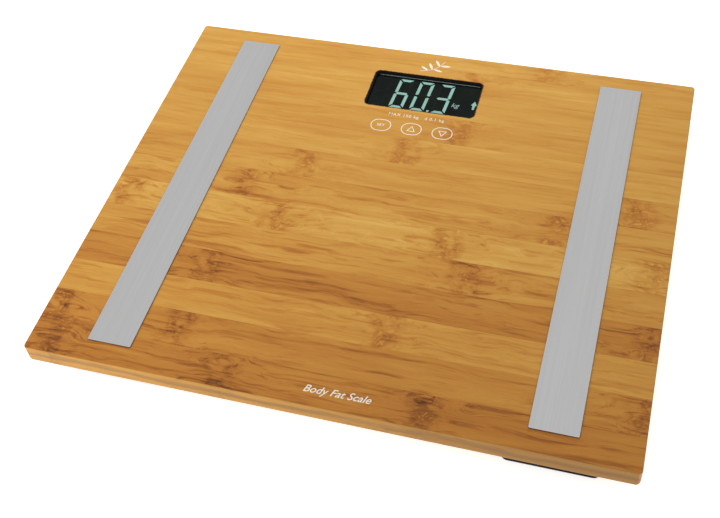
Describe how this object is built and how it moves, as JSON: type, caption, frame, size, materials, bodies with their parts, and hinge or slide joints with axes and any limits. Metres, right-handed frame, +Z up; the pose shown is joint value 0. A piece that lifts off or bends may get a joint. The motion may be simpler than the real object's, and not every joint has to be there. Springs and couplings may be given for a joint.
{
  "type": "digital bathroom scale",
  "caption": "Flat bamboo bathroom scale with steel body-composition electrode strips, a sunk segment display and load-cell feet.",
  "frame": {"origin": "middle of the board's outline, on the floor under the rubber pads", "axes": "+X along the board's long side, to the right of a person reading the display; +Y from the user's edge to the display edge; +Z up"},
  "size_m": [0.3, 0.254, 0.0226],
  "materials": {
    "bamboo": "laminated bamboo, satin varnish",
    "electrode_steel": "brushed lengthwise",
    "adhesive_tape": "thin double-sided tape",
    "groove_tape": "black cloth-backed tape",
    "plated_metal": "nickel plated",
    "wire_jacket": "soft PVC jacket",
    "lead_jacket": "soft PVC jacket",
    "black_plastic": "fine moulded texture",
    "button_plastic": "fine moulded texture",
    "bezel_plastic": "smooth, dark",
    "foot_rubber": "matt, non-slip",
    "cell_steel": "blanked alloy steel, plated",
    "gauge_film": "amber film under white sealant",
    "lcd_glass": "clear pane",
    "polarizer": "dark negative-mode film",
    "light_guide": "milky acrylic",
    "led": "phosphor-filled package",
    "zebra_rubber": "layered silicone strip",
    "holder_plastic": "white moulding",
    "circuit_laminate": "green solder resist",
    "chip_resin": "black potting resin",
    "chip_parts": "ceramic chips",
    "socket_nylon": "natural nylon",
    "sensor_foam": "conductive foam",
    "switch_body": "moulded housing",
    "screw_steel": "zinc plated",
    "coin_steel": "polished can"
  },
  "bodies": {
    "platform": {"bamboo_platform": "bamboo", "electrode_strip_left": "electrode_steel", "electrode_strip_right": "electrode_steel", "electrode_tapes": "adhesive_tape", "contact_studs": "plated_metal", "contact_nuts": "plated_metal", "ring_terminals": "plated_metal", "electrode_lead_left": "lead_jacket", "electrode_lead_right": "lead_jacket", "groove_tapes": "groove_tape", "foot_mount_screws": "screw_steel", "back_cover_screws": "screw_steel", "display_bezel": "bezel_plastic", "lcd_front_glass": "lcd_glass", "lcd_rear_glass": "lcd_glass", "lcd_front_polarizer": "polarizer", "lcd_rear_polarizer": "polarizer", "backlight_guide": "light_guide", "backlight_leds": "led", "zebra_contacts": "zebra_rubber", "lcd_holder": "holder_plastic", "circuit_board": "circuit_laminate", "circuit_board_screws": "screw_steel", "chip_blob": "chip_resin", "surface_parts": "chip_parts", "cable_sockets": "socket_nylon", "touch_key_sensors": "sensor_foam", "unit_switch": "switch_body", "back_cover": "black_plastic", "coin_cell": "coin_steel", "battery_contact_minus": "plated_metal", "battery_contact_plus": "plated_metal", "load_cell_cable_front_left": "wire_jacket", "foot_mount_front_left": "black_plastic", "load_cell_cable_front_right": "wire_jacket", "foot_mount_front_right": "black_plastic", "load_cell_cable_back_left": "wire_jacket", "foot_mount_back_left": "black_plastic", "load_cell_cable_back_right": "wire_jacket", "foot_mount_back_right": "black_plastic"},
    "foot_front_left": {"foot_cup_front_left": "black_plastic", "foot_pad_front_left": "foot_rubber", "load_cell_front_left": "cell_steel", "strain_gauge_front_left": "gauge_film"},
    "foot_front_right": {"foot_cup_front_right": "black_plastic", "foot_pad_front_right": "foot_rubber", "load_cell_front_right": "cell_steel", "strain_gauge_front_right": "gauge_film"},
    "foot_back_left": {"foot_cup_back_left": "black_plastic", "foot_pad_back_left": "foot_rubber", "load_cell_back_left": "cell_steel", "strain_gauge_back_left": "gauge_film"},
    "foot_back_right": {"foot_cup_back_right": "black_plastic", "foot_pad_back_right": "foot_rubber", "load_cell_back_right": "cell_steel", "strain_gauge_back_right": "gauge_film"},
    "door": {"battery_door": "black_plastic"},
    "button": {"unit_button": "button_plastic", "unit_switch_plunger": "button_plastic"}
  },
  "joints": [
    {"name": "foot_press_front_left", "type": "slide", "parent": "platform", "child": "foot_front_left", "axis": [0, 0, 1], "range_m": [0, 0.0005], "stiffness_N_per_m": 30000, "deforming": ["load_cell_front_left", "load_cell_cable_front_left"]},
    {"name": "foot_press_front_right", "type": "slide", "parent": "platform", "child": "foot_front_right", "axis": [0, 0, 1], "range_m": [0, 0.0005], "stiffness_N_per_m": 30000, "deforming": ["load_cell_front_right", "load_cell_cable_front_right"]},
    {"name": "foot_press_back_left", "type": "slide", "parent": "platform", "child": "foot_back_left", "axis": [0, 0, 1], "range_m": [0, 0.0005], "stiffness_N_per_m": 30000, "deforming": ["load_cell_back_left", "load_cell_cable_back_left"]},
    {"name": "foot_press_back_right", "type": "slide", "parent": "platform", "child": "foot_back_right", "axis": [0, 0, 1], "range_m": [0, 0.0005], "stiffness_N_per_m": 30000, "deforming": ["load_cell_back_right", "load_cell_cable_back_right"]},
    {"name": "battery_door_hinge", "type": "hinge", "parent": "platform", "child": "door", "pos_m": [0, 0.0545, 0.0052], "axis": [-1, 0, 0], "range_deg": [0, 95]},
    {"name": "unit_button_press", "type": "slide", "parent": "platform", "child": "button", "axis": [0, 0, 1], "range_m": [0, 0.0004], "stiffness_N_per_m": 1500}
  ]
}
